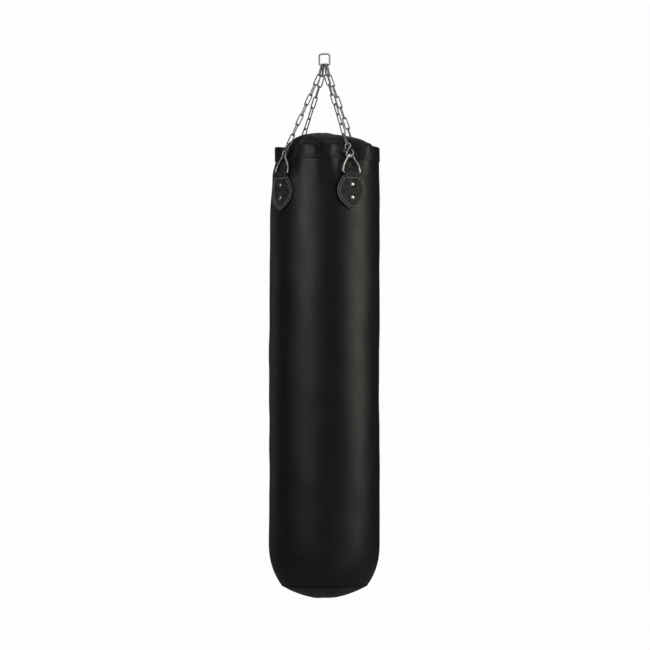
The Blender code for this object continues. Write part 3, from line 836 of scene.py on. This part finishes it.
def cover_height(x, y):
    """Height of the cloth over the plan: a soft dome with pleats that run to the tie."""
    azimuth = np.arctan2(y, x)
    reach, edge_z = cover_edge(azimuth)
    share = np.clip(np.hypot(x, y) / reach, 0, 1)
    z = edge_z + (COVER_TOP_Z - edge_z) * (1 - share**COVER_POWER)
    tie_x, tie_y = TIE_REACH * math.cos(TIE_AZIMUTH), TIE_REACH * math.sin(TIE_AZIMUTH)
    away = np.hypot(x - tie_x, y - tie_y)
    spread = np.arctan2(x - tie_x, y - tie_y)
    pleats = np.cos(15 * spread + 1.3 * np.sin(3 * spread) + 10 * away)
    z = z + 0.0026 * pleats * np.exp(-away / 0.055) * (1 - np.exp(-away / 0.010))
    edge = np.cos(31 * azimuth + 2.1 * np.sin(3 * azimuth) + 0.8 * np.sin(8 * azimuth))
    z = z + 0.0016 * edge * share**5 * (1 - share**12)
    z = z + 0.0016 * lumps(azimuth * share, share * 0.1, 41, 3, 0.08) * (1 - share**3)
    return z


def disc_grid(cells):
    """Points of a square grid pressed into a unit disc, as x, y and the faces."""
    steps = np.linspace(-1, 1, cells + 1)
    u, v = np.meshgrid(steps, steps)
    x, y = u * np.sqrt(1 - v * v / 2), v * np.sqrt(1 - u * u / 2)
    index = np.arange((cells + 1) ** 2).reshape(cells + 1, cells + 1)
    quads = np.stack([index[:-1, :-1], index[:-1, 1:], index[1:, 1:], index[1:, :-1]], axis=-1)
    return x.ravel(), y.ravel(), quads.reshape(-1, 4).tolist()


def make_cover():
    """The cloth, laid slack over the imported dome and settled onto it."""
    x, y, faces = disc_grid(COVER_CELLS)
    azimuth, share = np.arctan2(y, x), np.hypot(x, y)
    reach, _ = cover_edge(azimuth)
    x, y = reach * share * np.cos(azimuth), reach * share * np.sin(azimuth)
    points = np.stack([x, y, cover_height(x, y)], axis=-1)
    mesh = mesh_from("cover_cloth", points, faces)
    settle(mesh, points, share, faces)
    mesh = thickened(mesh, COVER_CLOTH)
    add_piece("cover_cloth", mesh, "bag", CLOTH, ["top_cover"])


def settle(mesh, points, share, faces):
    """A cloth simulation: the sewn edge is pinned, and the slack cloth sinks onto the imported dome."""
    scene = bpy.context.scene
    x, y = points[:, 0], points[:, 1]
    dome = mesh_from("dome", np.stack([x, y, cover_height(x, y) - DOME_GAP * (1 - share**4)], axis=-1), faces)
    support = bpy.data.objects.new("dome", dome)
    cloth = bpy.data.objects.new("cloth", mesh)
    for obj in (support, cloth):
        scene.collection.objects.link(obj)
    support.modifiers.new("collision", "COLLISION")
    support.collision.thickness_outer = 0.001
    sewn = cloth.vertex_groups.new(name="sewn")
    sewn.add(np.flatnonzero(share > SEWN_SHARE).tolist(), 1.0, "REPLACE")
    modifier = cloth.modifiers.new("cloth", "CLOTH")
    settings = modifier.settings
    settings.quality = 6
    settings.mass = 0.2
    settings.tension_stiffness = settings.compression_stiffness = 20
    settings.shear_stiffness = 8
    settings.bending_stiffness = 0.3
    settings.vertex_group_mass = "sewn"
    settings.shrink_min = -COVER_SLACK
    modifier.collision_settings.distance_min = 0.0015
    modifier.collision_settings.collision_quality = 3
    modifier.point_cache.frame_end = SETTLE_FRAMES
    for frame_number in range(1, SETTLE_FRAMES + 1):
        scene.frame_set(frame_number)
    graph = bpy.context.evaluated_depsgraph_get()
    moved = vertex_points(cloth.evaluated_get(graph).data) - points
    length = np.linalg.norm(moved, axis=1, keepdims=True)
    moved = moved * np.minimum(1, SETTLE_LIMIT / np.maximum(length, 1e-9))
    mesh.vertices.foreach_set("co", (points + moved).astype(np.float32).ravel())
    mesh.update()
    scene.frame_set(1)
    for obj in (cloth, support):
        bpy.data.objects.remove(obj, do_unlink=True)
    bpy.data.meshes.remove(dome)


def thickened(mesh, thickness):
    """The sheet subdivided once and given a thickness downwards."""
    obj = bpy.data.objects.new("sheet", mesh)
    bpy.context.scene.collection.objects.link(obj)
    smooth = obj.modifiers.new("smooth", "SUBSURF")
    smooth.levels = 1
    shell = obj.modifiers.new("shell", "SOLIDIFY")
    shell.thickness = thickness
    bpy.context.view_layer.update()
    graph = bpy.context.evaluated_depsgraph_get()
    solid = bpy.data.meshes.new_from_object(obj.evaluated_get(graph))
    bpy.data.objects.remove(obj, do_unlink=True)
    return outward(solid)


def over_rim(side, up, out):
    """A point on the hem band at the tie: side along the rim, up from its top edge (bending inwards over the
    rim when positive), and out from the surface."""
    azimuth = TIE_AZIMUTH + side / RIM_RADIUS
    z = RIM_Z + np.minimum(up, 0)
    base = bag_radius(azimuth, z) + BAND_OUT
    angle = np.clip(up / TIE_BEND, 0, math.pi / 2)
    inwards = np.maximum(up - TIE_BEND * math.pi / 2, 0)
    radius = base - TIE_BEND + (TIE_BEND + out) * np.cos(angle) - inwards
    height = z + (TIE_BEND + out) * np.sin(angle) - 0.002 + 0.35 * inwards
    return polar(azimuth, radius, height - rim_drop(azimuth, z))


def make_rosette():
    """The tied end of the cloth: two bunched lobes with a fold between, hanging over the front of the rim."""
    turn = full_turn(220)[None]
    sine, cosine = np.sin(turn), np.cos(turn)
    share = np.concatenate([np.linspace(0.03, 0.9, 26), [0.94, 0.97, 0.99, 1.0]])[:, None]
    lobe = np.abs(np.sin(1.75 * (turn - math.pi))) ** 0.7
    pleat = np.cos(17 * turn + 1.1 * np.sin(2 * turn) + 0.9 * np.sin(3 * turn + 1) + 1.6 * share)
    size = np.hypot(TIE_HALF_WIDTH * sine, np.where(cosine < 0, TIE_DROP, TIE_RISE) * cosine)
    size = size * (0.96 + 0.04 * pleat[-1:])
    rise = np.sqrt(np.clip(1 - share**3.0, 0, 1))
    swell = 0.45 + 0.55 * lobe * (0.4 + 0.6 * np.clip(-cosine, 0, 1))
    out = 0.0006 + TIE_THICKNESS * rise * swell * (0.90 + 0.10 * pleat)
    outer = over_rim(size * share * sine, size * share * cosine, out)[::-1]
    share = np.linspace(0.03, 0.97, 8)[:, None]
    inner = over_rim(size * share * sine, size * share * cosine, 0.0003)
    mesh = disc_solid("cover_rosette", outer, inner)
    add_piece("cover_rosette", mesh, "bag", CLOTH, ["closure_knot"])


def make_filling():
    azimuth = full_turn(120)[None]
    inset = SKIN_LEATHER + 0.0028
    sides = np.linspace(FILLING_HIGH - 0.016, SEAM_Z + 0.010, 110)[:, None]
    radius = bag_radius(azimuth, sides) - inset - 0.0006 * (1 + lumps(azimuth, sides, 51, 14, 0.03))
    share = np.linspace(0.9, 0.03, 16)[:, None]
    rough = lumps(azimuth, share * 0.2, 52, 8, 0.05)
    dome = FILLING_HIGH - 0.013 * share**2 - 0.001 * (1 + rough)
    top = polar(azimuth, radius[:1] * share, dome)[::-1]
    bottom_z = BOTTOM_Z + SKIN_LEATHER + 0.0040 + (SEAM_Z - BOTTOM_Z) * share**BOTTOM_POWER + 0.0006 * rough
    bottom = polar(azimuth, (SEAM_RADIUS - 0.004) * share, bottom_z)
    rings = np.concatenate([top, polar(azimuth, radius, sides), bottom])
    mesh = grid_piece("packed_filling", rings, caps="flat")
    add_piece("packed_filling", mesh, "bag", FILLING, ["filling"])


# Straps, built with the strap's azimuth along +X


def on_strap(x, z, offset):
    """A point on the bag at a strap: x along the surface from the strap's middle, and offset outwards."""
    turn = x / BODY_RADIUS
    return polar(turn, pinched_radius(np.abs(turn), z) + offset, z)


def outline_points():
    """The strap's smooth right edge from the neck to the tip, as (x, z)."""
    return catmull([(half, z) for z, half in STRAP_OUTLINE], 16)


def half_width(z, edge):
    order = np.argsort(edge[:, 1])
    return np.interp(z, edge[order, 1], edge[order, 0])


def edge_distance(x, z, edge):
    """Distance to the strap's edge, and the arc length of the nearest edge point."""
    lengths = arc_lengths(edge)
    gap = np.hypot(np.abs(x)[..., None] - edge[:, 0], z[..., None] - edge[:, 1])
    nearest = gap.argmin(axis=-1)
    return np.take_along_axis(gap, nearest[..., None], -1)[..., 0], lengths[nearest]


def face_height(x, z, edge):
    """The front layer's height over the backing: rounded edge, stitched channels, dents at the rivets."""
    away, along = edge_distance(x, z, edge)
    rounded = np.sqrt(np.clip(1 - (1 - np.clip(away / 0.0012, 0, 1)) ** 2, 0, 1))
    height = FACE * (0.45 + 0.55 * rounded)
    for inset in (OUTER_ROW_INSET, INNER_ROW_INSET):
        height = height - 0.00045 * bell(away - inset, 0.0008)
    between = bell(away - (OUTER_ROW_INSET + INNER_ROW_INSET) / 2, 0.0018)
    height += between * (0.00035 + 0.00030 * np.cos(2 * math.pi * along / STITCH_PITCH))
    height += 0.0006 * smooth_step((away - INNER_ROW_INSET) / 0.008)
    for rivet_z in RIVET_HEIGHTS.values():
        ring = np.hypot(x, z - rivet_z)
        height -= 0.0006 * bell(ring - RIVET_HEAD_R, 0.0016) + 0.0006 * (ring < RIVET_HEAD_R)
    return height


def strap_face():
    """The front layer: the shield, its neck, and the fold that goes over the D ring's bar."""
    edge = outline_points()
    bar = JOINTS["d_ring_front_right"]["pos_m"]
    bar_r, bar_z = math.hypot(bar[0], bar[1]), bar[2]
    u = np.sin(np.linspace(-math.pi / 2, math.pi / 2, 61))[None]
    tip = np.linspace(-0.4306, TIP_SPREAD_Z, 18, endpoint=False)
    z = np.concatenate([tip, np.linspace(TIP_SPREAD_Z, SHIELD_TOP_Z, 48)])[:, None]
    x = u * half_width(z, edge)
    z = z + 0 * x
    fronts = [on_strap(x, z, FACE_OFFSET + face_height(x, z, edge))]
    backs = [on_strap(x, z, FACE_OFFSET)]
    outside = FOLD_CHANNEL + FACE * 0.87 * (1 - 0.18 * np.abs(u) ** 6)
    for i, angle in enumerate(np.concatenate([np.zeros(NECK_STEPS), np.linspace(0.0, FOLD_END, 16)])):
        rise = min((i + 1) / (NECK_STEPS + 1), 1)
        level = SHIELD_TOP_Z + (bar_z - SHIELD_TOP_Z) * rise if i < NECK_STEPS else bar_z
        neck = half_width(level, edge)
        width = u * (neck if i < 2 else FOLD_HALF + (neck - FOLD_HALF) * max(0, 4 - i) / 4)
        for rings, radius in ((fronts, outside), (backs, FOLD_CHANNEL + 0 * u)):
            fold = (bar_r + radius * math.cos(angle), width, level + radius * math.sin(angle))
            place = np.stack(fold, axis=-1)
            if i < NECK_STEPS:
                share = smooth_step(rise)
                start = rings[0][-1:].copy()
                start[..., 1:] = np.stack([width, level + 0 * u], axis=-1)
                place = start * (1 - share) + place * share
                place[..., 0] -= 0.0007 * bell(rise - 0.62, 0.22)
            rings.append(place)
    return np.concatenate([np.concatenate(fronts), np.concatenate(backs)[:, ::-1]], axis=1)


def strap_backing():
    """The layer behind: the shield again, and the tongue that stands up behind the D ring."""
    edge = outline_points()
    tongue = catmull([(half, z) for z, half in TONGUE_OUTLINE], 8)
    tip = np.linspace(-0.4302, TIP_SPREAD_Z, 12, endpoint=False)
    z = np.concatenate([tip, np.linspace(TIP_SPREAD_Z, -0.3450, 26)])
    half = np.concatenate([half_width(z, edge) - 0.0004, tongue[:, 0]])[:, None]
    z = np.concatenate([z, tongue[:, 1]])[:, None]
    u = np.sin(np.linspace(-math.pi / 2, math.pi / 2, 33))[None]
    x, z = u * half, z + 0 * u
    rounded = np.sqrt(np.clip(1 - np.abs(u) ** 14, 0.3, 1))
    curl = 0.0012 * smooth_step((z + 0.318) / 0.021) * (1 + 0.3 * u)
    front = on_strap(x, z, STRAP_GAP + BACKING * rounded + curl)
    back = on_strap(x, z, STRAP_GAP + curl)
    return np.concatenate([front, back[:, ::-1]], axis=1)


def strap_rows():
    """Both stitch rows, as (path, normals): the outer one round the edge, the inner one closed at the top."""
    edge = resampled(outline_points(), 0.0008)
    tangent = unit(np.gradient(edge, axis=0))
    inwards = np.stack([tangent[:, 1], -tangent[:, 0]], axis=1)
    if inwards[:, 0].mean() > 0:
        inwards = -inwards
    rows = []
    for inset, top_z in ((OUTER_ROW_INSET, -0.3400), (INNER_ROW_INSET, SHIELD_TOP_Z - 0.0012)):
        side = edge + inwards * inset
        side = side[(side[:, 0] > 0) & (side[:, 1] < top_z)]
        side = side[: np.argmin(side[:, 1]) + 1]
        loop = np.vstack([side, side[::-1] * (-1, 1)])
        if inset == INNER_ROW_INSET:
            loop = np.vstack([loop, side[:1]])
        flat = resampled(loop, 0.0006)
        x, z = flat[:, 0], flat[:, 1]
        offset = FACE_OFFSET + face_height(x, z, outline_points())
        rows.append((on_strap(x, z, offset), polar(x / BODY_RADIUS, 1.0, 0.0)))
    return rows


def rivet_rings(z):
    """A domed rivet with a shallow dimple, on the strap at height z."""
    profile = np.array(RIVET_PROFILE)
    turn = full_turn(28)[None]
    radius, out = profile[:, :1], profile[:, 1:]
    seat = pinched_radius(np.array(0.0), np.array(z)) + FACE_OFFSET + FACE
    return np.stack([seat + out + 0 * turn, radius * np.cos(turn), z + radius * np.sin(turn)], axis=-1)


def at_strap(points, azimuth):
    """The points turned to a strap's azimuth, and moved in with the bag's slack side below the D ring."""
    points = turned_about_z(points, azimuth)
    radius = np.hypot(points[..., 0], points[..., 1])
    moved = slack(np.arctan2(points[..., 1], points[..., 0]), points[..., 2])
    moved = moved * smooth_step((SHIELD_TOP_Z - points[..., 2]) / 0.020)
    return points * np.stack([1 - moved / radius, 1 - moved / radius, np.ones_like(radius)], axis=-1)


def make_straps():
    face, backing, rows = strap_face(), strap_backing(), strap_rows()
    for corner, azimuth in AZIMUTHS.items():
        mesh = grid_piece("strap_face", at_strap(face, azimuth), caps="sheet")
        add_piece("strap_face_" + corner, mesh, "bag", STRAP_LEATHER, ["strap_" + corner])
        mesh = grid_piece("strap_backing", at_strap(backing, azimuth), caps="sheet")
        add_piece("strap_backing_" + corner, mesh, "bag", STRAP_LEATHER)
        turned = [(at_strap(path, azimuth), turned_about_z(normals, azimuth)) for path, normals in rows]
        mesh = stitches("strap_thread", turned, STITCH_PITCH, THREAD)
        add_piece("strap_thread_" + corner, mesh, "bag", THREAD_GREY)
        for name, z in RIVET_HEIGHTS.items():
            mesh = grid_piece("rivet", at_strap(rivet_rings(z), azimuth), caps="flat")
            rivet = corner + "_" + name
            add_piece("rivet_head_" + rivet, mesh, "bag", RIVET_METAL, ["rivet_" + rivet])


# Stage, light and camera


def around(degrees, distance, z):
    """A place round the bag, at an angle to the right of the camera's direction."""
    angle = math.radians(CAMERA_AZIMUTH + degrees)
    return (distance * math.sin(angle), -distance * math.cos(angle), z)


def aim(obj, target):
    direction = Vector(target) - obj.location
    obj.rotation_euler = direction.to_track_quat("-Z", "Y").to_euler()


def add_light(name, degrees, distance, z, size, radiance, colour, target_z):
    light = bpy.data.lights.new(name, "AREA")
    light.shape = "RECTANGLE"
    light.size, light.size_y = size
    light.energy = radiance * math.pi * size[0] * size[1]
    light.color = colour
    obj = bpy.data.objects.new(name, light)
    bpy.context.scene.collection.objects.link(obj)
    obj.location = around(degrees, distance, z)
    aim(obj, (0.0, 0.0, target_z))
    obj.visible_camera = False


def make_floor():
    """A pale floor, evenly bright to the camera and only seen from above."""
    look = Look("pale_floor", (0.45, 0.45, 0.45), 0.9)
    camera_ray, backfacing = look.add("LightPath", "Is Camera Ray"), look.add("NewGeometry", "Backfacing")
    glow = look.add("Emission", "Emission", {"Color": BACKDROP})
    clear = look.add("BsdfTransparent", "BSDF")
    seen = look.add("MixShader", "Shader", {"Fac": camera_ray, 1: look.shader.outputs["BSDF"], 2: glow})
    surface = look.add("MixShader", "Shader", {"Fac": backfacing, 1: seen, 2: clear})
    look.feed(look.nodes["Material Output"], {"Surface": surface})
    size, z = FLOOR_HALF, BOTTOM_Z - FLOOR_BELOW
    corners = [(-size, -size, z), (size, -size, z), (size, size, z), (-size, size, z)]
    mesh = mesh_from("floor", corners, [(0, 1, 2, 3)], smooth=False)
    mesh.materials.append(look.material)
    floor = bpy.data.objects.new("floor", mesh)
    bpy.context.scene.collection.objects.link(floor)


def make_surround():
    """A near-white backdrop for the camera, and a soft room light that is stronger from the front."""
    world = bpy.data.worlds.new("studio")
    bpy.context.scene.world = world
    tree = Tree(world)
    tree.nodes.clear()
    directions = {0: tree.add("TexCoord", "Generated"), 1: around(0, 1.0, 0.0)}
    facing = tree.add("VectorMath", "Value", directions, operation="DOT_PRODUCT")
    tone = tree.ramp(facing, ROOM_BEHIND, ROOM_IN_FRONT, -0.5, 0.6)
    room = tree.add("Background", "Background", {"Color": ROOM_COLOUR, "Strength": tone})
    backdrop = tree.add("Background", "Background", {"Color": BACKDROP})
    camera_ray = tree.add("LightPath", "Is Camera Ray")
    mix = tree.add("MixShader", "Shader", {"Fac": camera_ray, 1: room, 2: backdrop})
    tree.feed(tree.nodes.new("ShaderNodeOutputWorld"), {"Surface": mix})


def make_camera():
    data = bpy.data.cameras.new("camera")
    data.lens = CAMERA_LENS
    data.sensor_width = 36
    camera = bpy.data.objects.new("camera", data)
    bpy.context.scene.collection.objects.link(camera)
    bpy.context.scene.camera = camera
    camera.location = around(0, CAMERA_DISTANCE, CAMERA_Z)
    side, height = CAMERA_AIM
    right = math.radians(CAMERA_AZIMUTH)
    aim(camera, (side * math.cos(right), side * math.sin(right), height))
    bpy.context.scene.view_settings.view_transform = "Standard"


make_hanging_ring()
make_links()
make_hooks()
make_d_rings()
make_skin()
make_band()
make_back_seam()
make_base()
make_cover()
make_rosette()
make_filling()
make_straps()
make_floor()
make_surround()
for light in LIGHTS:
    add_light(*light)
make_camera()
